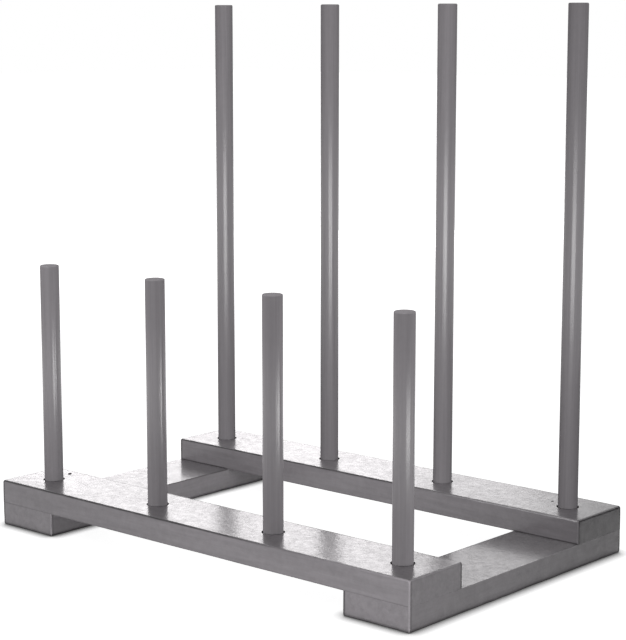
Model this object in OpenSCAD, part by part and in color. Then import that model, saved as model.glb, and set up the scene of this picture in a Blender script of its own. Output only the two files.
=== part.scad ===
// Boot rack: a front and a back rail lie flat across two runners, and each carries a row of poles.
// Boots hang upside down on the poles: short boots in front, tall boots behind.
// X runs along the rails, Y from front to back and Z up, in millimetres.
// The origin is on the floor, under the middle of the rack.

/* [Frame] */
// Length of the front and back rails, which is the width of the rack
rail_length = 500; // [380:5:900]
// Length of the left and right runners, which is the depth of the rack
runner_length = 310; // [240:5:500]
// Width of all four boards
board_width = 70; // [55:1:100]
// Thickness of all four boards
board_thickness = 22; // [18:0.5:35]
// Radius of the boards' outer edges
edge_radius = 2; // [0.4:0.1:4]
// Radius of the edges on the faces where a rail and a runner meet
seam_radius = 0.3; // [0.2:0.1:1.5]

/* [Poles] */
// Number of poles on each rail
poles_per_rail = 4; // [2:1:5]
// Diameter of every pole, and of the sockets drilled for them
pole_diameter = 18; // [14:0.5:25]
// Height of the short front poles above their rail
short_pole_rise = 208; // [120:1:300]
// Height of the tall back poles above their rail
tall_pole_rise = 452; // [310:1:600]
// Radius of the edge round a pole's tip
tip_radius = 1.2; // [0.4:0.1:3]
// How much a pole's foot is turned down all round, to drop into its socket
foot_relief = 0.25; // [0.2:0.05:0.6]
// Chamfer round the bottom of a pole's foot
foot_chamfer = 1; // [0.5:0.1:2]

/* [Sockets] */
// Wood left under each pole's socket
socket_floor = 7; // [5:0.5:10]
// How much wider than its pole a socket is at its mouth, all round
mouth_width = 1.3; // [0.3:0.1:2.5]
// Depth of the wider mouth
mouth_depth = 3; // [0.5:0.5:4]

/* [Screws] */
// Diameter over a screw's thread
screw_thread_diameter = 4; // [3.5:0.1:4.5]
// Diameter of a screw's countersunk head
screw_head_diameter = 8; // [7:0.1:9]
// Depth of a screw's head below the face that it is driven into
screw_sink = 0.5; // [0.2:0.1:1.5]
// Gap round a screw in the wood
screw_clearance = 0.1; // [0.05:0.05:0.3]
// How far a pole's screw reaches into the pole's foot
pole_screw_grip = 28.5; // [15:0.5:60]
// Wood left above the tips of the corner screws
corner_screw_cover = 3.5; // [2:0.5:8]

/* [Hidden] */
$fn = 64;
// How far a cut runs past the face that it opens
overrun = 1;

board_paint = "#7d7a7c";
pole_paint = "#858386";
screw_steel = "#b9babd";

left = -1;
right = 1;
front = -1;
back = 1;

// The runners lie on the floor and the rails lie on the runners
rail_underside = board_thickness;
rail_top = rail_underside + board_thickness;
runner_x = (rail_length - board_width) / 2;
rail_y = (runner_length - board_width) / 2;

// The end poles stand over the middle of the runners, and the others evenly between them
pole_numbers = [1 : poles_per_rail];
pole_pitch = 2 * runner_x / (poles_per_rail - 1);
pole_radius = pole_diameter / 2;
foot_radius = pole_radius - foot_relief;
socket_depth = board_thickness - socket_floor;
foot_z = rail_top - socket_depth;

// Shares of a screw's thread diameter
shank_share = 0.725;
core_share = 0.625;
tip_length_share = 1;
point_share = 0.08;
// Shares of a screw's head diameter
head_rim_share = 0.06;
recess_span_share = 0.58;
recess_slot_share = 0.13;
recess_depth_share = 0.26;
// Share of a screw's length at which its thread starts
thread_start_share = 0.3;

thread_radius = screw_thread_diameter / 2;
shank_radius = thread_radius * shank_share;
core_radius = thread_radius * core_share;
head_radius = screw_head_diameter / 2;
head_rim = screw_head_diameter * head_rim_share;
pilot_radius = shank_radius + screw_clearance;
pole_screw_length = socket_floor - screw_sink + pole_screw_grip;
corner_screw_length = rail_top - corner_screw_cover - screw_sink;

// A corner's two screws lie on a diagonal, clear of the socket in its middle
corner_screw_share = 0.26;
corner_screw_offset = board_width * corner_screw_share;

function pole_x(number) = (number - 1) * pole_pitch - runner_x;

// What rounding takes off the corner at the origin of a shape that lies along +X and +Y
module corner_waste(radius) {
    difference() {
        translate([-overrun, -overrun]) square(radius + overrun);
        translate([radius, radius]) circle(radius);
    }
}

// A rectangle that stands on the X axis, centred on it, with rounded corners
module rounded_rectangle(width, height, low_radius, high_radius) {
    difference() {
        translate([-width / 2, 0]) square([width, height]);
        for (side = [0, 1]) mirror([side, 0]) {
            translate([-width / 2, 0]) corner_waste(low_radius);
            translate([-width / 2, height]) mirror([0, 1]) corner_waste(high_radius);
        }
    }
}

// A board along X on the ground plane. Its front, end and top outlines, crossed, ease every edge.
module board(length, low_radius, high_radius) {
    intersection() {
        translate([0, board_width / 2, 0]) rotate([90, 0, 0])
            linear_extrude(board_width)
                rounded_rectangle(length, board_thickness, low_radius, high_radius);
        translate([-length / 2, 0, 0]) rotate([90, 0, 90])
            linear_extrude(length)
                rounded_rectangle(board_width, board_thickness, low_radius, high_radius);
        linear_extrude(board_thickness)
            translate([0, -board_width / 2])
                rounded_rectangle(length, board_width, edge_radius, edge_radius);
    }
}

// A countersunk hole up from a face at the origin, through wood of the given thickness
module countersunk_hole(thickness) {
    wide = head_radius + screw_clearance;
    narrow = thread_radius + screw_clearance;
    cone_start = screw_sink + head_rim;
    translate([0, 0, -overrun]) cylinder(h = overrun + thickness + overrun, r = narrow);
    translate([0, 0, -overrun]) cylinder(h = overrun + cone_start, r = wide);
    translate([0, 0, cone_start]) cylinder(h = wide - narrow, r1 = wide, r2 = narrow);
}

// A blind hole up from a face at the origin, for the threaded end of a screw
module pilot_hole(depth) {
    translate([0, 0, -overrun]) cylinder(h = overrun + depth + screw_clearance, r = pilot_radius);
}

// The crossed slots in the head of a screw at the origin
module cross_recess() {
    span = screw_head_diameter * recess_span_share;
    slot = screw_head_diameter * recess_slot_share;
    depth = screw_head_diameter * recess_depth_share;
    for (turn = [0, 90]) rotate([0, 0, turn])
        translate([-span / 2, -slot / 2, -overrun]) cube([span, slot, depth + overrun]);
}

// A countersunk screw that points up, with the flat of its head at the origin
module screw(length) {
    head_end = head_rim + head_radius - shank_radius;
    thread_start = length * thread_start_share;
    tip_start = length - screw_thread_diameter * tip_length_share;
    point_radius = screw_thread_diameter * point_share;
    color(screw_steel) difference() {
        rotate_extrude() polygon([
            [0, 0],
            [head_radius, 0],
            [head_radius, head_rim],
            [shank_radius, head_end],
            [shank_radius, thread_start],
            [core_radius, thread_start + shank_radius - core_radius],
            [core_radius, tip_start],
            [point_radius, length],
            [0, length]
        ]);
        cross_recess();
    }
}

// Places its children at the middle of each pole of the row at one end
module at_poles(end) {
    for (number = pole_numbers) translate([pole_x(number), end * rail_y, 0]) children();
}

// Places its children at the two screws of one corner
module at_corner_screws(side, end) {
    translate([side * runner_x, end * rail_y, 0])
        for (step = [-1, 1])
            translate([step * side * corner_screw_offset, -step * end * corner_screw_offset, 0])
                children();
}

// A blind hole down from the top of a rail, a little wider at its mouth
module pole_socket() {
    translate([0, 0, foot_z]) cylinder(h = socket_depth + overrun, r = pole_radius);
    translate([0, 0, rail_top - mouth_depth])
        cylinder(h = mouth_depth + overrun, r = pole_radius + mouth_width);
}

module rail(end) {
    color(board_paint) difference() {
        translate([0, end * rail_y, rail_underside])
            board(rail_length, seam_radius, edge_radius);
        at_poles(end) {
            pole_socket();
            translate([0, 0, rail_underside]) countersunk_hole(socket_floor);
        }
        for (side = [left, right]) at_corner_screws(side, end)
            translate([0, 0, rail_underside])
                pilot_hole(board_thickness - corner_screw_cover);
    }
}

module runner(side) {
    color(board_paint) difference() {
        translate([side * runner_x, 0, 0]) rotate([0, 0, 90])
            board(runner_length, edge_radius, seam_radius);
        for (end = [front, back]) at_corner_screws(side, end)
            countersunk_hole(board_thickness);
    }
}

// A pole at the origin's X and Y, standing in its socket
module pole(rise) {
    length = socket_depth + rise;
    color(pole_paint) translate([0, 0, foot_z]) difference() {
        rotate_extrude() difference() {
            polygon([
                [0, 0],
                [foot_radius - foot_chamfer, 0],
                [foot_radius, foot_chamfer],
                [foot_radius, socket_depth],
                [pole_radius, socket_depth],
                [pole_radius, length],
                [0, length]
            ]);
            translate([pole_radius, length]) rotate(180) corner_waste(tip_radius);
        }
        pilot_hole(pole_screw_grip);
    }
}

module short_pole(number) {
    translate([pole_x(number), front * rail_y, 0]) pole(short_pole_rise);
}

module tall_pole(number) {
    translate([pole_x(number), back * rail_y, 0]) pole(tall_pole_rise);
}

module pole_screws(end) {
    at_poles(end) translate([0, 0, rail_underside + screw_sink]) screw(pole_screw_length);
}

module corner_screws(side, end) {
    at_corner_screws(side, end) translate([0, 0, screw_sink]) screw(corner_screw_length);
}

rail(front);  // front_rail
rail(back);  // back_rail
runner(left);  // left_runner
runner(right);  // right_runner
for (number = pole_numbers) {
    short_pole(number);
    tall_pole(number);
}
pole_screws(front);  // front_pole_screws
pole_screws(back);  // back_pole_screws
corner_screws(left, front);  // front_left_corner_screws
corner_screws(right, front);  // front_right_corner_screws
corner_screws(left, back);  // back_left_corner_screws
corner_screws(right, back);  // back_right_corner_screws
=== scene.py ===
import math

import bmesh
import bpy
from mathutils import Matrix, Vector, noise


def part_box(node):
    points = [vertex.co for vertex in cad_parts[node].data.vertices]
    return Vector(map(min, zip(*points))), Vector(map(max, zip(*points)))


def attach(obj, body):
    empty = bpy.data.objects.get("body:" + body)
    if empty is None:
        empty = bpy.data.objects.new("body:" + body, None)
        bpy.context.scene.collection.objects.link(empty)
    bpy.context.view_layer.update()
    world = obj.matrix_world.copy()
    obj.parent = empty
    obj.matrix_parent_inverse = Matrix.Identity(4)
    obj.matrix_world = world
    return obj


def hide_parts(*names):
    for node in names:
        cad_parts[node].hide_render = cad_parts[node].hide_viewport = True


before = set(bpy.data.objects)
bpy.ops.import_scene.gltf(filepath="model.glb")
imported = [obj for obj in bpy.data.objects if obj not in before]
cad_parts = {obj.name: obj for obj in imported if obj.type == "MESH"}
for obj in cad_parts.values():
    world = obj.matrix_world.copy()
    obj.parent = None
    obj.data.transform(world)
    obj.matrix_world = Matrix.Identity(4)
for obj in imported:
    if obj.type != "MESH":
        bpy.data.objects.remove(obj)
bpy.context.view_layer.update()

MM = 0.001
BODY = "root"
RAILS = ("front_rail", "back_rail")
RUNNERS = ("left_runner", "right_runner")
ENDS = ("front", "back")
SIDES = ("left", "right")
POLES_PER_RAIL = 4
SCREWS_PER_CORNER = 2


# Sizes that the frame gives

def middle(node):
    """The middle of a CAD node's box."""
    low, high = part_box(node)
    return (low + high) / 2


def box_height(node):
    """The height of a CAD node's box."""
    low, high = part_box(node)
    return high.z - low.z


rail_low, rail_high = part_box("front_rail")
board_width = rail_high.y - rail_low.y
rail_underside = rail_low.z
rail_top = rail_high.z
pole_low, pole_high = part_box("tall_pole_1")
pole_radius = (pole_high.x - pole_low.x) / 2
pole_foot_z = pole_low.z

# Sizes of the boards

# Rounding of an outer edge, and of an edge in a seam, which paint has all but filled
edge_radius = 2.0 * MM
seam_radius = 0.03 * MM
# How much a rounding, and the painted shade and highlights along it, vary along the edge, and over
# what length
edge_wear_and_shading_share = 0.35
edge_wear_and_shading_length = 14 * MM
# Where the noise is below a level, a face sinks a little
board_wave = 0.10 * MM
board_wave_length = 55 * MM
board_wave_level = 0.35
# The place in the noise moves by this much from one board to the next
NOISE_STEP = (3.1, 1.7, 2.3)
# The mesh: its cells, the finest strip along an edge, the turns in a rounding, and what is welded
board_cell = 4 * MM
fine_edge = 0.2 * MM
round_turns = 3
weld_distance = 0.01 * MM
# How far a cutter runs past the face that it opens
overrun = 1 * MM

# Each rail's top has one small knock: its place, radius, depth, length for its width, and turn
RAIL_DENTS = {
    "front_rail": ((-219.5 * MM, -96.0 * MM), 1.7 * MM, 2.2 * MM, 2.6, math.radians(41)),
    "back_rail": ((194.0 * MM, 126.5 * MM), 1.4 * MM, 0.5 * MM, 1.6, math.radians(41)),
}
dent_floor_share = 0.8
dent_sides = 16

# Marks along the boards' edges, each with its tone from -1 for dark to 1 for pale, its width, and
# how far it takes to fade out. Most are painted shade and painted highlights, where the rounded
# edges would catch dark or bright surroundings; one is a painted shadow by the floor, and two are
# dark seams

edge_fade = 0.9 * MM
outline_fade = 1.6 * MM
floor_fade = 3.0 * MM
# The outline, end and inner top marks and the shade beside the near corner are painted shade, the
# foot mark is a painted shadow where the runners meet the floor, the pale end, corner and outer top
# marks are painted highlights, and the seam and underside marks are dark seams
OUTLINE_SHADE = (-1.0, edge_radius, outline_fade)
END_SHADE = (-1.0, edge_radius, edge_fade)
END_HIGHLIGHT = (0.7, 0.4 * MM, edge_fade)
CORNER_HIGHLIGHT = (1.0, 0.5 * MM, edge_fade)
CORNER_SHADE = (-0.5, 0.1 * MM, edge_fade)
SEAM_ON_RUNNER = (-1.0, 0.4 * MM, edge_fade)
RAIL_UNDERSIDE = (-0.35, 0.2 * MM, edge_fade)
FOOT_SHADOW = (-1.0, 1.0 * MM, floor_fade)
INNER_TOP_SHADE = (-0.8, 0.3 * MM, edge_fade)
OUTER_TOP_HIGHLIGHT = (0.5, 0.2 * MM, edge_fade)
# How far the painted shade beside the painted highlight on the near corner lies from it
corner_shade_away = 2.0 * MM
# The top front edge of a rail, a painted reflection that is dark at the left and pale at the right:
# its tone at the middle, how it rises to the right, and its range
front_edge_tone = -1.2
front_edge_slope = 2.0
front_edge_darkest = -1.0
front_edge_palest = 0.8
front_edge_width = 0.7 * MM

# Sizes of the poles and their sockets

foot_relief = 0.25 * MM
foot_chamfer = 1.0 * MM
tip_radius = 1.2 * MM
mouth_width = 1.3 * MM
mouth_depth = 3.0 * MM
shoulder_height = 0.1 * MM
# Where the noise is below a level, a pole is a little thinner
pole_wave = 0.05 * MM
pole_wave_scale = 45.0
pole_wave_level = 0.75
# The rubbed part of a pole: its middle, and how far it spreads, as shares of the pole's rise
rub_middle_share = 0.5
rub_spread_share = 0.17
pole_sides = 64
pole_ring_step = 6 * MM
tip_turns = 6

# Sizes of the screws

head_radius = 4.0 * MM
head_rim = 0.48 * MM
head_sink = 0.5 * MM
shank_radius = 1.45 * MM
core_radius = 1.25 * MM
thread_radius = 2.0 * MM
thread_pitch = 1.8 * MM
thread_start_share = 0.3
thread_rows_a_turn = 8
# How steeply a thread's ridge rises across one turn
thread_slope = 4
tip_length = 4.0 * MM
point_radius = 0.16 * MM
hole_clearance = 0.1 * MM
recess_span = 4.6 * MM
recess_slot = 1.0 * MM
recess_depth = 2.1 * MM
recess_taper_share = 0.45
screw_sides = 24
hole_sides = 48

# Above this angle an edge stays sharp in the shading
smooth_angle = math.radians(32)


# Node trees

FLOAT, COLOR, VECTOR = "NodeSocketFloat", "NodeSocketColor", "NodeSocketVector"
INTEGER, MATERIAL, GEOMETRY = "NodeSocketInt", "NodeSocketMaterial", "NodeSocketGeometry"
OBJECT = "NodeSocketObject"
WHITE = (1.0, 1.0, 1.0, 1.0)


def add_node(tree, kind, inputs=None, **settings):
    """Adds a node, sets its options, and sets or links its inputs."""
    node = tree.nodes.new(kind)
    for name, value in settings.items():
        setattr(node, name, value)
    for name, value in (inputs or {}).items():
        socket = node.inputs[name]
        if isinstance(value, bpy.types.NodeSocket):
            tree.links.new(value, socket)
        else:
            socket.default_value = value
    return node


def calculate(tree, operation, *values, clamp=False):
    """The result of one Math node."""
    node = add_node(tree, "ShaderNodeMath", dict(enumerate(values)), operation=operation)
    node.use_clamp = clamp
    return node.outputs[0]


def rescale(tree, value, low, high, out_low, out_high):
    """A value from one range carried over to another, held at its ends."""
    node = add_node(tree, "ShaderNodeMapRange", {
        "Value": value, "From Min": low, "From Max": high, "To Min": out_low, "To Max": out_high})
    return node.outputs["Result"]


def scaled(tree, vector, scale):
    """A vector or colour made longer or brighter."""
    return add_node(
        tree, "ShaderNodeVectorMath", {0: vector, "Scale": scale}, operation="SCALE").outputs[0]


def add_noise(tree, place, scale, detail, roughness=0.5, distortion=0.0):
    """The value of one noise texture."""
    node = add_node(tree, "ShaderNodeTexNoise", {
        "Vector": place, "Scale": scale, "Detail": detail, "Roughness": roughness,
        "Distortion": distortion})
    return node.outputs["Fac"]


def attribute_value(tree, name):
    """A number that the mesh keeps for each of its points."""
    return add_node(tree, "ShaderNodeAttribute", attribute_name=name).outputs["Fac"]


def object_place(tree):
    """The place on the object, which patterns follow."""
    return add_node(tree, "ShaderNodeTexCoord").outputs["Object"]


def add_sockets(tree, inputs, outputs):
    """Gives a node group its named inputs, with their starting values, and its named outputs."""
    for name, kind, value in inputs:
        socket = tree.interface.new_socket(name, in_out="INPUT", socket_type=kind)
        if value is not None:
            socket.default_value = value
    for name, kind in outputs:
        tree.interface.new_socket(name, in_out="OUTPUT", socket_type=kind)


# A noise's value less a half swings by a half each way, and this makes it one
full_swing = 2.0
# The middle range of the noise that the patches in the coat use
DAPPLE_RANGE = (0.35, 0.65)
# How deep the fine grain is for the coarse grain's one
fine_grain_share = 0.4


def make_paint_group():
    """Brushed paint over wood: what changes over the surface, stretched along the grain."""
    tree = bpy.data.node_groups.new("Brushed paint", "ShaderNodeTree")
    add_sockets(
        tree,
        [
            ("Coordinates", VECTOR, None),
            ("Stretch", VECTOR, (1.0, 1.0, 1.0)),
            ("Paint", COLOR, (0.2, 0.2, 0.2, 1.0)),
            ("Streaks", FLOAT, 0.06),
            ("Mottle", FLOAT, 0.05),
            ("Roughness", FLOAT, 0.4),
            ("Roughness Spread", FLOAT, 0.06),
            ("Grain Depth", FLOAT, 0.5),
            ("Mottle Depth", FLOAT, 0.5),
            ("Coat", FLOAT, 0.0),
            ("Coat Patches", FLOAT, 0.0),
            ("Edge", FLOAT, 0.0),
            ("Edge Dark", FLOAT, 1.0),
            ("Edge Pale", FLOAT, 1.0),
        ],
        [("Color", COLOR), ("Roughness", FLOAT), ("Coat", FLOAT), ("Height", FLOAT)],
    )

    def plus(one, other):
        return calculate(tree, "ADD", one, other)

    def times(one, other):
        return calculate(tree, "MULTIPLY", one, other)

    def centred(value):
        return calculate(tree, "SUBTRACT", value, 0.5)

    given = add_node(tree, "NodeGroupInput").outputs
    place = given["Coordinates"]
    stretched = add_node(tree, "ShaderNodeMapping", {
        "Vector": place, "Scale": given["Stretch"]}).outputs[0]
    grain = add_noise(tree, stretched, scale=1.0, detail=4.0, roughness=0.62, distortion=0.35)
    fine = add_noise(tree, stretched, scale=3.7, detail=3.0, roughness=0.6)
    mottle = add_noise(tree, place, scale=170.0, detail=4.0, roughness=0.6)
    broad = add_noise(tree, place, scale=14.0, detail=2.0, roughness=0.5)
    dapple = add_noise(tree, place, scale=150.0, detail=4.0, roughness=0.75)

    # The colour: streaks and mottle that swing about one, times the painted shade and highlights
    # along the edges
    streak_part = times(centred(grain), given["Streaks"])
    mottle_part = times(centred(mottle), given["Mottle"])
    broad_part = times(centred(broad), given["Mottle"])
    change = plus(plus(streak_part, mottle_part), broad_part)
    even = plus(times(change, full_swing), 1.0)
    dark = rescale(tree, given["Edge"], -1.0, 0.0, given["Edge Dark"], 1.0)
    pale = rescale(tree, given["Edge"], 0.0, 1.0, 1.0, given["Edge Pale"])
    color = scaled(tree, given["Paint"], times(even, times(dark, pale)))

    # The gloss: its roughness, and a coat that is patchy and thinned by the dark marks along the
    # edges, painted shade and dark seams alike
    spread = times(plus(centred(fine), centred(broad)), given["Roughness Spread"])
    roughness = calculate(tree, "ADD", given["Roughness"], times(spread, full_swing), clamp=True)
    patches = times(rescale(tree, dapple, *DAPPLE_RANGE, -0.5, 0.5), given["Coat Patches"])
    coat_share = calculate(tree, "MULTIPLY_ADD", patches, dark, dark)
    coat = calculate(tree, "MULTIPLY", given["Coat"], coat_share, clamp=True)

    # The relief
    grain_height = times(plus(grain, times(fine, fine_grain_share)), given["Grain Depth"])
    height = plus(grain_height, times(mottle, given["Mottle Depth"]))

    add_node(tree, "NodeGroupOutput", {
        "Color": color, "Roughness": roughness, "Coat": coat, "Height": height})
    return tree


# Materials

BOARD_PAINT = (0.188, 0.1755, 0.1865, 1.0)
POLE_PAINT = (0.2035, 0.192, 0.2025, 1.0)
STEEL_DARK = (0.55, 0.55, 0.57, 1.0)
STEEL_PALE = (0.72, 0.72, 0.70, 1.0)
# The middle range of the noise that the steel uses, and the roughness at its ends
STEEL_NOISE_RANGE = (0.3, 0.7)
STEEL_ROUGHNESS = (0.24, 0.42)
paint_ior = 1.5
paint_specular = 0.15
# How often the grain changes over a metre, along it and across it
ALONG, ACROSS = 16.0, 210.0
POLE_ALONG, POLE_ACROSS = 9.0, 420.0
# Edge dark and edge pale scale the paint at the painted shade and the painted highlights along the
# edges
BOARD_FINISH = dict(
    bump_distance=0.05 * MM, coat=0.6, streaks=0.26, mottle=0.15,
    roughness=0.4, roughness_spread=0.06, grain_depth=0.6, mottle_depth=2.6,
    coat_patches=0.60, edge_dark=0.23, edge_pale=1.5)
# On the poles, edge dark darkens the paint of the tips as painted shade
POLE_FINISH = dict(
    bump_distance=0.04 * MM, coat=0.0, streaks=0.20, mottle=0.04,
    roughness=0.6, roughness_spread=0.04, grain_depth=0.6, mottle_depth=0.2,
    edge_dark=0.68)
PAINT_GROUP = make_paint_group()


def empty_material(name):
    """A material whose node tree is still empty, and that tree."""
    material = bpy.data.materials.new(name)
    material.use_nodes = True
    tree = material.node_tree
    tree.nodes.clear()
    return material, tree


def new_material(name):
    """A material with only its Principled BSDF and output, its tree, and that shader node."""
    material, tree = empty_material(name)
    shader = add_node(tree, "ShaderNodeBsdfPrincipled")
    add_node(tree, "ShaderNodeOutputMaterial", {"Surface": shader.outputs[0]})
    return material, tree, shader


def painted_wood(name, paint, stretch, bump_distance, coat, coat_roughness, **amounts):
    """Paint brushed over wood whose grain runs along the axis with the smallest stretch."""
    material, tree, shader = new_material(name)
    inputs = {
        "Coordinates": object_place(tree),
        "Stretch": stretch,
        "Paint": paint,
        "Coat": coat,
        "Edge": attribute_value(tree, "edge"),
    }
    inputs.update({key.replace("_", " ").title(): value for key, value in amounts.items()})
    finish = add_node(tree, "ShaderNodeGroup", inputs, node_tree=PAINT_GROUP).outputs
    bump = add_node(tree, "ShaderNodeBump", {
        "Strength": 1.0, "Distance": bump_distance, "Height": finish["Height"]}).outputs[0]
    tree.links.new(finish["Color"], shader.inputs["Base Color"])
    tree.links.new(finish["Roughness"], shader.inputs["Roughness"])
    tree.links.new(finish["Coat"], shader.inputs["Coat Weight"])
    tree.links.new(bump, shader.inputs["Normal"])
    tree.links.new(bump, shader.inputs["Coat Normal"])
    shader.inputs["IOR"].default_value = paint_ior
    shader.inputs["Specular IOR Level"].default_value = paint_specular
    shader.inputs["Coat Roughness"].default_value = coat_roughness
    return material


def rub_poles(material):
    """A pole's middle is rubbed glossy by the boots, and its tip is dull end grain."""
    tree = material.node_tree
    shader = tree.nodes["Principled BSDF"]
    painted = shader.inputs["Roughness"].links[0].from_socket
    roughness = calculate(tree, "MAXIMUM", painted, attribute_value(tree, "end_grain"))
    tree.links.new(roughness, shader.inputs["Roughness"])
    tree.links.new(attribute_value(tree, "rubbed"), shader.inputs["Coat Weight"])
    shader.inputs["Specular IOR Level"].default_value = 0.0


def zinc_steel():
    """Plated steel with fine turning marks round the screw."""
    material, tree, shader = new_material("zinc_steel")
    marks = add_noise(tree, object_place(tree), scale=2400.0, detail=2.0)
    roughness = rescale(tree, marks, *STEEL_NOISE_RANGE, *STEEL_ROUGHNESS)
    tree.links.new(roughness, shader.inputs["Roughness"])
    tint = add_node(tree, "ShaderNodeMix", data_type="RGBA")
    tree.links.new(marks, tint.inputs["Factor"])
    tint.inputs["A"].default_value = STEEL_DARK
    tint.inputs["B"].default_value = STEEL_PALE
    tree.links.new(tint.outputs["Result"], shader.inputs["Base Color"])
    shader.inputs["Metallic"].default_value = 1.0
    return material


rail_material = painted_wood(
    "rail_paint", BOARD_PAINT, (ALONG, ACROSS, ACROSS), coat_roughness=0.19, **BOARD_FINISH)
runner_material = painted_wood(
    "runner_paint", BOARD_PAINT, (ACROSS, ALONG, ACROSS), coat_roughness=0.14, **BOARD_FINISH)
pole_material = painted_wood(
    "pole_paint", POLE_PAINT, (POLE_ACROSS, POLE_ACROSS, POLE_ALONG), coat_roughness=0.21,
    **POLE_FINISH)
rub_poles(pole_material)
screw_material = zinc_steel()


# Meshes

def mesh_object(name, mesh):
    """An object in the scene with a mesh."""
    made = bpy.data.objects.new(name, mesh)
    bpy.context.scene.collection.objects.link(made)
    return made


def mesh_from(solid, name):
    """A solid's faces as a mesh. The solid is used up."""
    mesh = bpy.data.meshes.new(name)
    solid.to_mesh(mesh)
    solid.free()
    return mesh


def write_values(mesh, name, values):
    """Keeps one number for each point of a mesh under a name."""
    layer = mesh.attributes.new(name, "FLOAT", "POINT")
    layer.data.foreach_set("value", values)


def bake_modifiers(made):
    """Leaves the object with a plain mesh and no modifiers."""
    evaluated = made.evaluated_get(bpy.context.evaluated_depsgraph_get())
    mesh = bpy.data.meshes.new_from_object(evaluated)
    mesh.name = made.name
    made.modifiers.clear()
    made.data = mesh


def smooth_over(made):
    """Smooth shading that stays flat on the broad faces and sharp at corners."""
    for face in made.data.polygons:
        face.use_smooth = True
    made.data.set_sharp_from_angle(angle=smooth_angle)
    modifier = made.modifiers.new("normals", "WEIGHTED_NORMAL")
    modifier.keep_sharp = True
    bake_modifiers(made)


def lathe(profile, sides):
    """A closed solid turned about Z, from (radius, height) points that run up from axis to axis."""
    solid = bmesh.new()
    rings = []
    for radius, height in profile:
        if radius == 0:
            rings.append([solid.verts.new((0, 0, height))])
            continue
        rings.append([
            solid.verts.new((radius * math.cos(turn), radius * math.sin(turn), height))
            for turn in (2 * math.pi * side / sides for side in range(sides))
        ])
    for low, high in zip(rings, rings[1:]):
        for side in range(sides):
            after = (side + 1) % sides
            corners = [low[side % len(low)], low[after % len(low)],
                       high[after % len(high)], high[side % len(high)]]
            solid.faces.new(list(dict.fromkeys(corners)))
    return solid


def cut_with(made, cutter, crossed=False):
    """Cuts the cutter's solids out of the object. Crossed ones may run through each other."""
    modifier = made.modifiers.new("cut", "BOOLEAN")
    modifier.operation = "DIFFERENCE"
    modifier.solver = "EXACT"
    modifier.use_self = crossed
    modifier.object = cutter
    bake_modifiers(made)
    bpy.data.objects.remove(cutter)


def dress(piece, node, material):
    """Gives a finished piece its material, hangs it on the body and hides the CAD node that it
    stands for.
    """
    piece.data.materials.clear()
    piece.data.materials.append(material)
    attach(piece, BODY)
    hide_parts(node)


# Boards

def grid_lines(half):
    """Places along one side of a board: close at its edges, for the rounding, and even between."""
    inner = half - edge_radius
    flat = inner - outline_fade
    steps = max(2, round(2 * flat / board_cell))
    even = [-flat + 2 * flat * step / steps for step in range(steps + 1)]
    turns = [math.pi / 4 * turn / round_turns for turn in range(round_turns)]
    high = [inner + edge_radius * math.tan(turn) for turn in turns] + [half - fine_edge, half]
    return [-place for place in reversed(high)] + even + high


def box_grid(half):
    """A closed sharp box about the origin, whose sides are grids."""
    lines = [grid_lines(size) for size in half]
    solid = bmesh.new()
    for axis in range(3):
        first, second = (axis + 1) % 3, (axis + 2) % 3
        for side in (-1, 1):
            rows = []
            for u in lines[first]:
                row = []
                for v in lines[second]:
                    point = Vector((0, 0, 0))
                    point[axis] = side * half[axis]
                    point[first] = u
                    point[second] = v
                    row.append(solid.verts.new(point))
                rows.append(row)
            for below, above in zip(rows, rows[1:]):
                for corner in range(len(below) - 1):
                    face = [below[corner], above[corner], above[corner + 1], below[corner + 1]]
                    solid.faces.new(face if side > 0 else face[::-1])
    bmesh.ops.remove_doubles(solid, verts=solid.verts, dist=weld_distance)
    return solid


def eased(point, half, side_radius, arris_radius):
    """A point of a sharp box carried onto one with rounded upright corners and arrises."""
    core = Vector([max(radius - size, min(size - radius, place))
                   for place, size, radius in zip(point, half, (side_radius, side_radius, 0))])
    out = point - core
    if out.x and out.y:
        reach = max(abs(out.x), abs(out.y))
        heading = Vector((out.x, out.y, 0)).normalized()
        eased_point = core + heading * reach
        depth = side_radius - reach
    else:
        margins = (half.x - abs(point.x), half.y - abs(point.y))
        axis = margins.index(min(margins))
        heading = Vector((0, 0, 0))
        heading[axis] = math.copysign(1, point[axis])
        eased_point = point.copy()
        depth = margins[axis]
    rise = half.z - abs(point.z)
    inward, down = arris_radius - depth, arris_radius - rise
    if inward <= 0 or down <= 0:
        return eased_point
    share = max(inward, down) / math.hypot(inward, down)
    eased_point -= heading * inward * (1 - share)
    eased_point.z -= math.copysign(down * (1 - share), point.z)
    return eased_point


def edge_mark(away, tone, width, fade):
    """A mark's tone at a distance from its edge: full over its width, then fading out."""
    return tone * max(0.0, min(1.0, (width + fade - away) / fade))


def rail_marks(point, half, x_away, y_away, z_away, inner):
    """The painted shade, painted highlights and dark seams on a rail's arrises. The top front one
    is a painted reflection, dark at the left, pale at the right.
    """
    along_away = max(y_away, z_away)
    end_away = max(x_away, z_away)
    if point.z > 0:
        if point.y < 0:
            tone = front_edge_slope * (point.x / half.x) + front_edge_tone
            tone = max(front_edge_darkest, min(front_edge_palest, tone))
            long_mark = edge_mark(along_away, tone, front_edge_width, edge_fade)
        else:
            long_mark = edge_mark(along_away, *OUTLINE_SHADE)
        end_form = END_HIGHLIGHT if point.x > 0 else END_SHADE
        return [long_mark, edge_mark(end_away, *end_form)]
    over_runner = half.x - abs(point.x) < board_width
    if over_runner and point.y * inner > 0:
        return [edge_mark(along_away, *SEAM_ON_RUNNER)]
    return [edge_mark(along_away, *RAIL_UNDERSIDE)]


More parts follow.
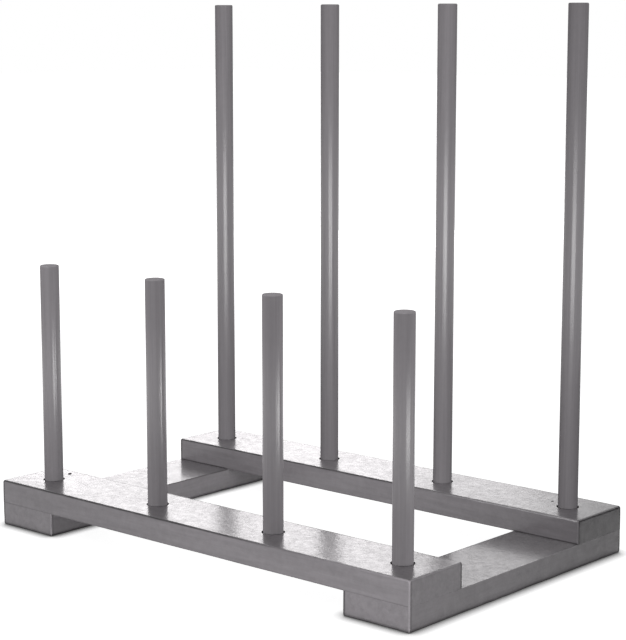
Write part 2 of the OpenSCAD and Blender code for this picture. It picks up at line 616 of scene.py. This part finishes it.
def runner_marks(point, half, x_away, y_away, z_away, inner):
    """The painted shade and highlight on a runner's arrises: a painted shadow along its bottom by
    the floor, painted shade along its inner top, and a painted highlight along its outer top.
    """
    along_away = max(x_away, z_away)
    end_away = max(y_away, z_away)
    if point.z < 0:
        return [edge_mark(min(end_away, along_away), *FOOT_SHADOW)]
    under_rail = half.y - abs(point.y) < board_width
    if under_rail:
        return [0.0]
    top_form = INNER_TOP_SHADE if point.x * inner > 0 else OUTER_TOP_HIGHLIGHT
    return [edge_mark(along_away, *top_form)]


def edge_tone(point, half, arris_marks, inner):
    """How a board's edges are marked at a point of its sharp form: painted highlight up to 1,
    painted shade or dark seam down to -1.

    Inner is 1 where the side that faces the middle of the rack is the positive one, or else -1.
    """
    x_away, y_away, z_away = (size - abs(place) for size, place in zip(half, point))
    upright_away = max(x_away, y_away)
    # The near upright corner gets a painted highlight with a line of painted shade beside it, the
    # others a painted dark outline
    if point.x > 0 and point.y < 0:
        marks = [edge_mark(upright_away, *CORNER_HIGHLIGHT)]
        if y_away > fine_edge:
            marks.append(edge_mark(abs(upright_away - corner_shade_away), *CORNER_SHADE))
    else:
        marks = [edge_mark(upright_away, *OUTLINE_SHADE)]
    marks += arris_marks(point, half, x_away, y_away, z_away, inner)
    return max(marks, key=abs)


def board_object(node, low_radius, high_radius, arris_marks, inner, seed):
    """A board with eased, slightly worn edges that carry painted shade and highlights, and faces
    that are not quite flat.
    """
    low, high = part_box(node)
    half = (high - low) / 2
    solid = box_grid(half)
    noise_place = Vector([seed * step for step in NOISE_STEP])
    edge = solid.verts.layers.float.new("edge")
    for vert in solid.verts:
        arris_radius = high_radius if vert.co.z > 0 else low_radius
        # One noise sways both the rounding and the painted shade and highlights along the edge
        wear_and_shading = 1 + edge_wear_and_shading_share * noise.noise(vert.co / edge_wear_and_shading_length + noise_place)
        vert[edge] = edge_tone(vert.co, half, arris_marks, inner) * wear_and_shading
        vert.co = eased(vert.co, half, edge_radius * wear_and_shading, arris_radius * wear_and_shading)
    solid.normal_update()
    moves = []
    for vert in solid.verts:
        sway = noise.noise(vert.co / board_wave_length + noise_place)
        moves.append(vert.normal * min(0.0, sway - board_wave_level) * board_wave)
    centre = middle(node)
    for vert, move in zip(solid.verts, moves):
        vert.co += move + centre
    return mesh_object(f"painted_{node}", mesh_from(solid, "board"))


def pole_places(rail):
    """Where the poles of a rail stand."""
    row = "short" if rail == "front_rail" else "tall"
    return [middle(f"{row}_pole_{number}").to_2d() for number in range(1, POLES_PER_RAIL + 1)]


def corner_nodes(ends, sides):
    """The nodes of the screws at the corners of the given ends and sides."""
    return [f"{end}_{side}_corner_screws" for end in ends for side in sides]


def screw_tops(node, count):
    """The places of a node's screws, from its box: a row along X, or a pair on its diagonal."""
    low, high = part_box(node)
    left, right = low.x + head_radius, high.x - head_radius
    front, back = low.y + head_radius, high.y - head_radius
    if count > SCREWS_PER_CORNER:
        y = (low.y + high.y) / 2
        return [Vector((left + (right - left) * step / (count - 1), y)) for step in range(count)]
    mirrored = (low.x + high.x) * (low.y + high.y) < 0
    if mirrored:
        return [Vector((right, front)), Vector((left, back))]
    return [Vector((left, front)), Vector((right, back))]


def corner_screw_places(nodes):
    """The places of all screws of some corner nodes."""
    return [place for node in nodes for place in screw_tops(node, SCREWS_PER_CORNER)]


def socket_cutter():
    """A blind hole down from a rail's top for a pole, a little wider at its mouth."""
    mouth_radius = pole_radius + mouth_width
    mouth_z = rail_top - mouth_depth
    end_z = rail_top + overrun
    return lathe([
        (0, pole_foot_z), (pole_radius, pole_foot_z), (pole_radius, mouth_z),
        (mouth_radius, mouth_z), (mouth_radius, end_z), (0, end_z)], pole_sides)


def screw_hole_cutter(face_z, top_z):
    """A countersunk hole up from a face."""
    wide = head_radius + hole_clearance
    narrow = thread_radius + hole_clearance
    start_z = face_z - overrun
    cone_z = face_z + head_sink + head_rim
    return lathe([
        (0, start_z), (wide, start_z), (wide, cone_z), (narrow, cone_z + wide - narrow),
        (narrow, top_z), (0, top_z)], hole_sides)


def pilot_cutter(top_z):
    """A blind hole up from a rail's underside for the end of a screw."""
    radius = shank_radius + hole_clearance
    start_z = rail_underside - overrun
    return lathe([(0, start_z), (radius, start_z), (radius, top_z), (0, top_z)], screw_sides)


def dent_cutter(radius, depth, length_share, turn):
    """A small hollow knocked into the top of a rail, longer than wide by a share, and turned."""
    floor_z = rail_top - depth
    end_z = rail_top + overrun
    solid = lathe([
        (0, floor_z), (radius * dent_floor_share, floor_z), (radius, rail_top),
        (radius, end_z), (0, end_z)], dent_sides)
    longer = Matrix.Rotation(turn, 4, "Z") @ Matrix.Scale(length_share, 4, (0, 1, 0))
    bmesh.ops.transform(solid, matrix=longer, verts=solid.verts)
    return solid


def merge_into(solid, part, place):
    """Adds a copy of part, moved to place, to solid."""
    mesh = bpy.data.meshes.new("part")
    part.to_mesh(mesh)
    mesh.transform(Matrix.Translation(place))
    solid.from_mesh(mesh)
    bpy.data.meshes.remove(mesh)


def cutter_object(parts):
    """One object that holds every cutter of a board, each moved to its place."""
    solid = bmesh.new()
    for part, places in parts:
        for place in places:
            merge_into(solid, part, Vector((place.x, place.y, 0)))
        part.free()
    return mesh_object("cutter", mesh_from(solid, "cutter"))


def make_rail(node, seed):
    """A rail with its sockets, its screw holes and its knock."""
    end = node.split("_")[0]
    inner = 1 if end == "front" else -1
    made = board_object(node, seam_radius, edge_radius, rail_marks, inner, seed)
    corners = corner_nodes([end], SIDES)
    pilot_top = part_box(corners[0])[1].z + hole_clearance
    dent_place, *dent_form = RAIL_DENTS[node]
    cut_with(made, cutter_object([
        (socket_cutter(), pole_places(node)),
        (screw_hole_cutter(rail_underside, pole_foot_z + overrun), pole_places(node)),
        (pilot_cutter(pilot_top), corner_screw_places(corners)),
        (dent_cutter(*dent_form), [Vector(dent_place)]),
    ]))
    return made


def make_runner(node, seed):
    """A runner with its screw holes."""
    side = node.split("_")[0]
    inner = 1 if side == "left" else -1
    made = board_object(node, edge_radius, seam_radius, runner_marks, inner, seed)
    low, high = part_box(node)
    cut_with(made, cutter_object([
        (screw_hole_cutter(low.z, high.z + overrun),
         corner_screw_places(corner_nodes(ENDS, [side]))),
    ]))
    return made


def finish_board(board, node, material):
    """Smooths a board and dresses it."""
    smooth_over(board)
    dress(board, node, material)
    return board


front_rail, back_rail = (
    finish_board(make_rail(node, seed), node, rail_material)
    for seed, node in enumerate(RAILS, start=1))
left_runner, right_runner = (
    finish_board(make_runner(node, seed), node, runner_material)
    for seed, node in enumerate(RUNNERS, start=3))


# Poles

def make_turned_tree():
    """Turns a line of points into a round rod. A point's ring_radius is its ring's radius."""
    tree = bpy.data.node_groups.new("Turned rod", "GeometryNodeTree")
    add_sockets(
        tree,
        [
            ("Line", GEOMETRY, None),
            ("Sides", INTEGER, 32),
            ("Unevenness", FLOAT, 0.0),
            ("Unevenness Scale", FLOAT, 50.0),
            ("Seed", FLOAT, 0.0),
            ("Material", MATERIAL, None),
        ],
        [("Rod", GEOMETRY)],
    )
    given = add_node(tree, "NodeGroupInput").outputs
    curve = add_node(tree, "GeometryNodeMeshToCurve", {"Mesh": given["Line"]}).outputs[0]
    radius = add_node(tree, "GeometryNodeInputNamedAttribute", {
        "Name": "ring_radius"}, data_type="FLOAT").outputs["Attribute"]
    sized = add_node(tree, "GeometryNodeSetCurveRadius", {
        "Curve": curve, "Radius": radius}).outputs[0]
    circle = add_node(tree, "GeometryNodeCurvePrimitiveCircle", {
        "Resolution": given["Sides"], "Radius": 1.0}, mode="RADIUS").outputs["Curve"]
    ring_size = add_node(tree, "GeometryNodeInputRadius").outputs[0]
    rod = add_node(tree, "GeometryNodeCurveToMesh", {
        "Curve": sized, "Profile Curve": circle, "Scale": ring_size, "Fill Caps": True}).outputs[0]
    place = add_node(tree, "GeometryNodeInputPosition").outputs[0]
    swirl = add_node(tree, "ShaderNodeTexNoise", {
        "Vector": place, "W": given["Seed"], "Scale": given["Unevenness Scale"], "Detail": 2.0},
        noise_dimensions="4D").outputs["Fac"]
    below = calculate(tree, "SUBTRACT", swirl, pole_wave_level)
    amount = calculate(tree, "MULTIPLY", below, given["Unevenness"])
    outward = add_node(tree, "GeometryNodeInputNormal").outputs[0]
    uneven = add_node(tree, "GeometryNodeSetPosition", {
        "Geometry": rod, "Offset": scaled(tree, outward, amount)}).outputs[0]
    realized = add_node(tree, "GeometryNodeRealizeInstances", {"Geometry": uneven}).outputs[0]
    painted = add_node(tree, "GeometryNodeSetMaterial", {
        "Geometry": realized, "Material": given["Material"]}).outputs[0]
    add_node(tree, "NodeGroupOutput", {"Rod": painted})
    return tree


def add_tree(made, tree, **inputs):
    """Puts a Geometry Nodes tree on an object and sets its inputs by their sockets' identifiers."""
    modifier = made.modifiers.new(tree.name, "NODES")
    modifier.node_group = tree
    for item in tree.interface.items_tree:
        key = item.name.lower().replace(" ", "_")
        if item.in_out == "INPUT" and key in inputs:
            modifier[item.identifier] = inputs[key]


def pole_rings(foot_z, tip_z):
    """The rings of a pole from its foot to its tip, as (radius, height)."""
    foot_radius = pole_radius - foot_relief
    rings = [
        (foot_radius - foot_chamfer, foot_z),
        (foot_radius, foot_z + foot_chamfer),
        (foot_radius, rail_top - shoulder_height),
        (pole_radius, rail_top),
    ]
    shaft_end = tip_z - tip_radius
    shaft = shaft_end - rail_top
    steps = round(shaft / pole_ring_step)
    rings += [(pole_radius, rail_top + shaft * step / steps) for step in range(1, steps + 1)]
    for turn in range(1, tip_turns + 1):
        angle = math.pi / 2 * turn / tip_turns
        inward = tip_radius * (1 - math.cos(angle))
        rings.append((pole_radius - inward, shaft_end + tip_radius * math.sin(angle)))
    return rings


def rubbed_share(height, tip_z):
    """How much the boots have rubbed a pole at a height."""
    rise_share = (height - rail_top) / (tip_z - rail_top)
    return math.exp(-((rise_share - rub_middle_share) / rub_spread_share) ** 2 / 2)


def make_pole(node, tree, seed):
    """A pole turned from its rings, with its rubbed part, its tip and the painted shade on its tip
    kept in attributes.
    """
    low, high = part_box(node)
    centre = middle(node)
    rings = pole_rings(low.z, high.z)
    mesh = bpy.data.meshes.new(node)
    mesh.from_pydata(
        [(centre.x, centre.y, height) for radius, height in rings],
        [(ring, ring + 1) for ring in range(len(rings) - 1)], [])
    write_values(mesh, "ring_radius", [radius for radius, height in rings])
    made = mesh_object(f"painted_{node}", mesh)
    add_tree(made, tree, sides=pole_sides, unevenness=pole_wave,
             unevenness_scale=pole_wave_scale, seed=float(seed), material=pole_material)
    bake_modifiers(made)
    heights = [vert.co.z for vert in made.data.vertices]
    at_tip = [1.0 if height > high.z - tip_radius / 2 else 0.0 for height in heights]
    write_values(made.data, "rubbed", [rubbed_share(height, high.z) for height in heights])
    write_values(made.data, "end_grain", at_tip)
    # The tip's paint is darkened as well, a painted shade that keeps its top, lit from above, from
    # looking paler than the sides
    write_values(made.data, "edge", [-share for share in at_tip])
    return made


def make_pole_row(row, tree, first_seed):
    """All poles of one row."""
    made = []
    for number in range(1, POLES_PER_RAIL + 1):
        node = f"{row}_pole_{number}"
        pole = make_pole(node, tree, first_seed + number)
        smooth_over(pole)
        dress(pole, node, pole_material)
        made.append(pole)
    return made


turned_tree = make_turned_tree()
short_poles = make_pole_row("short", turned_tree, 0)
tall_poles = make_pole_row("tall", turned_tree, 10)


# Screws

def screw_profile(length, thread_start):
    """The outline of a screw that points up from the flat of its head, as (radius, height)."""
    head_end = head_rim + head_radius - shank_radius
    tip_start = length - tip_length
    profile = [
        (0, 0),
        (head_radius, 0),
        (head_radius, head_rim),
        (shank_radius, head_end),
        (shank_radius, thread_start),
    ]
    rows = round((length - thread_start) / thread_pitch * thread_rows_a_turn)
    for row in range(1, rows):
        height = thread_start + (length - thread_start) * row / rows
        past_tip_start = max(0.0, height - tip_start)
        core = core_radius + (point_radius - core_radius) * past_tip_start / tip_length
        profile.append((core, height))
    return profile + [(point_radius, length), (0, length)]


def screw_mesh(length):
    """A countersunk wood screw with a turned thread."""
    thread_start = length * thread_start_share
    solid = lathe(screw_profile(length, thread_start), screw_sides)
    for vert in solid.verts:
        height = vert.co.z
        across = vert.co.to_2d()
        if not thread_start < height < length or across.length < point_radius / 2:
            continue
        turn = math.atan2(across.y, across.x) / (2 * math.pi)
        wave = (height / thread_pitch - turn) % 1.0
        ridge = max(0.0, 1 - abs(wave - 0.5) * thread_slope)
        run_in = min(1.0, (height - thread_start) / thread_pitch)
        run_out = min(1.0, (length - height) / tip_length)
        depth = (thread_radius - core_radius) * ridge * run_in * run_out
        vert.co.x += across.x / across.length * depth
        vert.co.y += across.y / across.length * depth
    bmesh.ops.recalc_face_normals(solid, faces=solid.faces)
    return mesh_from(solid, "screw")


def recess_cutter():
    """Two crossed, tapered slots for a driver, in a head whose flat is at the origin."""
    solid = bmesh.new()
    floor_span = recess_span * recess_taper_share
    for turn in (0, math.pi / 2):
        corners = []
        for height, span in ((-overrun, recess_span), (recess_depth, floor_span)):
            for x, y in ((-1, -1), (1, -1), (1, 1), (-1, 1)):
                point = Vector((x * span / 2, y * recess_slot / 2, height))
                corners.append(solid.verts.new(Matrix.Rotation(turn, 3, "Z") @ point))
        low, high = corners[:4], corners[4:]
        solid.faces.new(low[::-1])
        solid.faces.new(high)
        for side in range(4):
            after = (side + 1) % 4
            solid.faces.new((low[side], low[after], high[after], high[side]))
    return mesh_object("recess", mesh_from(solid, "recess"))


def make_screw(length):
    """One screw, to be copied to its places."""
    made = mesh_object("screw", screw_mesh(length))
    cut_with(made, recess_cutter(), crossed=True)
    smooth_over(made)
    return made


def make_scatter_tree():
    """Puts a copy of one object on each point, each turned about Z by its own seeded amount."""
    tree = bpy.data.node_groups.new("Driven screws", "GeometryNodeTree")
    add_sockets(
        tree,
        [
            ("Places", GEOMETRY, None),
            ("Screw", OBJECT, None),
            ("Seed", INTEGER, 0),
            ("Material", MATERIAL, None),
        ],
        [("Screws", GEOMETRY)],
    )
    given = add_node(tree, "NodeGroupInput").outputs
    screw = add_node(tree, "GeometryNodeObjectInfo", {"Object": given["Screw"]}).outputs["Geometry"]
    # The node's third and fourth inputs are its lowest and highest float
    turn = add_node(tree, "FunctionNodeRandomValue", {
        "Seed": given["Seed"], 2: 0.0, 3: math.pi / 2}, data_type="FLOAT").outputs[1]
    turned = add_node(tree, "ShaderNodeCombineXYZ", {"Z": turn}).outputs[0]
    placed = add_node(tree, "GeometryNodeInstanceOnPoints", {
        "Points": given["Places"], "Instance": screw, "Rotation": turned}).outputs[0]
    realized = add_node(tree, "GeometryNodeRealizeInstances", {"Geometry": placed}).outputs[0]
    plated = add_node(tree, "GeometryNodeSetMaterial", {
        "Geometry": realized, "Material": given["Material"]}).outputs[0]
    add_node(tree, "NodeGroupOutput", {"Screws": plated})
    return tree


def make_screws(node, count, screw, tree, seed):
    """All screws of a node."""
    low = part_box(node)[0]
    mesh = bpy.data.meshes.new(node)
    mesh.from_pydata([(place.x, place.y, low.z) for place in screw_tops(node, count)], [], [])
    made = mesh_object(f"threaded_{node}", mesh)
    add_tree(made, tree, screw=screw, seed=seed, material=screw_material)
    bake_modifiers(made)
    dress(made, node, screw_material)


scatter_tree = make_scatter_tree()
pole_screw = make_screw(box_height("front_pole_screws"))
corner_screw = make_screw(box_height("front_left_corner_screws"))
for seed, node in enumerate(("front_pole_screws", "back_pole_screws"), start=1):
    make_screws(node, POLES_PER_RAIL, pole_screw, scatter_tree, seed)
for seed, node in enumerate(corner_nodes(ENDS, SIDES), start=3):
    make_screws(node, SCREWS_PER_CORNER, corner_screw, scatter_tree, seed)
bpy.data.objects.remove(pole_screw)
bpy.data.objects.remove(corner_screw)


# Studio

def around(azimuth, elevation, distance, centre=Vector((0, 0, 0))):
    """A point at an azimuth from the front, where zero looks along +Y, and at an elevation."""
    return centre + distance * Vector((
        math.sin(azimuth) * math.cos(elevation),
        -math.cos(azimuth) * math.cos(elevation),
        math.sin(elevation)))


camera_azimuth = math.radians(41.33)
camera_elevation = math.radians(9.09)
camera_distance = 1.72675
camera_target = Vector((0.01195, 0.0, 0.20878))
camera_lens = 105.68
camera_sensor = 36.0
camera_place = around(camera_azimuth, camera_elevation, camera_distance, camera_target)

ambient_level = 0.29
floor_half = 12.0
floor_color = (0.75, 0.75, 0.75, 1.0)
floor_glow = 0.92
# The floor's glow falls to a share of itself where the object is closer than the reach, a painted
# contact shadow
contact_reach = 0.013
contact_start = 0.5
contact_share = 0.15
card_color = (0.01, 0.01, 0.01, 1.0)
card_near = Vector((0.34, 0.07, 0.015))
card_far = Vector((0.34, 0.40, 0.14))

# What the lamps at a distance are turned towards, and how far off they stand
object_middle = Vector((0, 0, 0.12))
lamp_distance = 2.2
panel_distance = 2.6
# The panels' white has a little of the paint's hue
PANEL_COLOR = (1.0, 0.967, 0.985)
# The panels behind the object: their turn to the left of straight behind and their elevation in
# degrees, their width, height and radiance
PANELS = {
    "back_low_panel": (2.2, 7.5, 1.28, 0.68, 1.9),
    "left_panel": (17, 7.5, 0.41, 0.68, 1.9),
    "back_high_panel": (4, 23, 0.82, 0.75, 3.1),
    "right_panel": (-10, 23, 0.41, 0.75, 0.9),
}
# The lamps of the boards: their place, target, width, height, radiance and what they light
NEAR_BOARDS = (front_rail, left_runner, right_runner)
BOARD_LAMPS = {
    "front_key": (
        around(0, math.radians(20), lamp_distance), object_middle, 1.2, 1.2, 3.6, NEAR_BOARDS),
    "back_rail_key": ((-0.02, -0.25, 0.20), (-0.02, 0.085, 0.033), 0.30, 0.30, 4.6, [back_rail]),
    "low_card": ((0.25, -0.75, 0.14), (0.0, 0.0, 0.14), 0.50, 0.28, 3.8, NEAR_BOARDS),
    "right_card": ((0.62, -0.30, 0.10), (0.25, -0.10, 0.03), 0.20, 0.20, 4.6, NEAR_BOARDS),
    "inner_card": ((0.35, -0.02, 0.10), (-0.18, 0.02, 0.011), 0.30, 0.20, 9.6, [left_runner]),
}
# The fills of the poles: what they light, and the radiance of the left one and of the right one
FILLS = {
    "short": (short_poles, 10.6, 7.0),
    "tall": (tall_poles[:3], 4.15, 3.7),
    "last_tall": (tall_poles[3:], 3.0, 2.9),
}
fill_bearings = (math.radians(-20), math.radians(100))
fill_elevation = math.radians(50)
fill_size = 1.2
# Each pole's strip of light: its turn in degrees from the camera's side of the pole, its height
# and its radiance
TALL_STRIPS = ((0, 0.164, 7.5), (8, 0.172, 7.5), (3, 0.172, 7.8), (3, 0.190, 6.4))
SHORT_STRIPS = ((36, 0.05, 7.6), (60, 0.045, 7.2), (58, 0.045, 7.0), (46, 0.05, 6.4))


def background_ray(tree):
    """One for rays that see the background: from the camera, or off or through a surface."""
    path = add_node(tree, "ShaderNodeLightPath").outputs
    seen = calculate(tree, "MAXIMUM", path["Is Camera Ray"], path["Is Glossy Ray"])
    return calculate(tree, "MAXIMUM", seen, path["Is Transmission Ray"])


def staged_sheet(name, corners, material):
    """A flat sheet that belongs to the studio and not to the object."""
    mesh = bpy.data.meshes.new(name)
    mesh.from_pydata(corners, [], [(0, 1, 2, 3)])
    mesh.materials.append(material)
    sheet = mesh_object(name, mesh)
    return sheet


def make_floor():
    """A pale floor that keeps the object's shadow and shows white beyond it."""
    material, tree = empty_material("floor_white")
    matt = add_node(tree, "ShaderNodeBsdfDiffuse", {"Color": floor_color}).outputs[0]
    openness = add_node(tree, "ShaderNodeAmbientOcclusion", {
        "Distance": contact_reach}).outputs["AO"]
    glow = rescale(tree, openness, contact_start, 1.0, contact_share * floor_glow, floor_glow)
    strength = calculate(tree, "MULTIPLY", background_ray(tree), glow)
    glowing = add_node(tree, "ShaderNodeEmission", {
        "Color": WHITE, "Strength": strength}).outputs[0]
    both = add_node(tree, "ShaderNodeAddShader", {0: matt, 1: glowing}).outputs[0]
    add_node(tree, "ShaderNodeOutputMaterial", {"Surface": both})
    staged_sheet("floor", [
        (-floor_half, -floor_half, 0), (floor_half, -floor_half, 0),
        (floor_half, floor_half, 0), (-floor_half, floor_half, 0)], material)


def make_dark_card():
    """A black card beyond the far right corner, out of the camera's sight, to darken that end."""
    material, tree = empty_material("dark_card")
    black = add_node(tree, "ShaderNodeBsdfDiffuse", {"Color": card_color}).outputs[0]
    add_node(tree, "ShaderNodeOutputMaterial", {"Surface": black})
    card = staged_sheet("dark_card", [
        card_near, (card_near.x, card_far.y, card_near.z),
        card_far, (card_near.x, card_near.y, card_far.z)], material)
    card.visible_camera = False


def make_world():
    """A plain pale room, which shows white behind the object."""
    world = bpy.data.worlds.new("studio")
    bpy.context.scene.world = world
    world.use_nodes = True
    tree = world.node_tree
    tree.nodes.clear()
    strength = rescale(tree, background_ray(tree), 0.0, 1.0, ambient_level, 1.0)
    background = add_node(tree, "ShaderNodeBackground", {
        "Color": WHITE, "Strength": strength}).outputs[0]
    add_node(tree, "ShaderNodeOutputWorld", {"Surface": background})


def aim(made, place, target):
    """Stands a lamp or the camera at a place, turned towards a target."""
    facing = Vector(target) - Vector(place)
    turn = facing.to_track_quat("-Z", "Y").to_matrix().to_4x4()
    made.matrix_world = Matrix.Translation(place) @ turn


def make_camera():
    """The camera at the photograph's viewing angle."""
    data = bpy.data.cameras.new("camera")
    data.lens = camera_lens
    data.sensor_width = camera_sensor
    camera = bpy.data.objects.new("camera", data)
    bpy.context.scene.collection.objects.link(camera)
    aim(camera, camera_place, camera_target)
    bpy.context.scene.camera = camera


def add_lamp(name, place, target, width, height, radiance, receivers=None, color=WHITE[:3]):
    """A soft area lamp of a given radiance, aimed at a target. It can light only some pieces."""
    data = bpy.data.lights.new(name, "AREA")
    data.color = color
    data.shape = "RECTANGLE"
    data.size = width
    data.size_y = height
    data.energy = radiance * math.pi * width * height
    lamp = bpy.data.objects.new(name, data)
    bpy.context.scene.collection.objects.link(lamp)
    aim(lamp, place, target)
    lamp.visible_camera = False
    if receivers:
        lit = bpy.data.collections.new(f"{name}_receivers")
        for piece in receivers:
            lit.objects.link(piece)
        lamp.light_linking.receiver_collection = lit


def light_poles(row, poles, strips, distance, width, height):
    """Gives each pole of a row its own strip of light, which shows as a bright band."""
    for number, (pole, (turn, band_height, radiance)) in enumerate(zip(poles, strips), start=1):
        target = middle(f"{row}_pole_{number}")
        toward = camera_place - target
        bearing = math.atan2(toward.x, -toward.y) + math.radians(turn)
        target.z = band_height
        place = around(bearing, 0.0, distance, target)
        add_lamp(f"{row}_pole_strip_{number}", place, target, width, height, radiance, [pole])


make_floor()
make_dark_card()
make_world()
make_camera()
for name, (turn, elevation, width, height, radiance) in PANELS.items():
    bearing = camera_azimuth + math.pi + math.radians(turn)
    place = around(bearing, math.radians(elevation), panel_distance)
    add_lamp(name, place, object_middle, width, height, radiance, color=PANEL_COLOR)
for name, form in BOARD_LAMPS.items():
    add_lamp(name, *form)
for row, (poles, *levels) in FILLS.items():
    for side, bearing, level in zip(SIDES, fill_bearings, levels):
        place = around(bearing, fill_elevation, lamp_distance)
        add_lamp(f"{row}_{side}_fill", place, object_middle, fill_size, fill_size, level, poles)
light_poles("tall", tall_poles, TALL_STRIPS, distance=0.9, width=0.70, height=0.26)
light_poles("short", short_poles, SHORT_STRIPS, distance=0.5, width=0.40, height=0.10)

bpy.context.scene.view_settings.view_transform = "Standard"
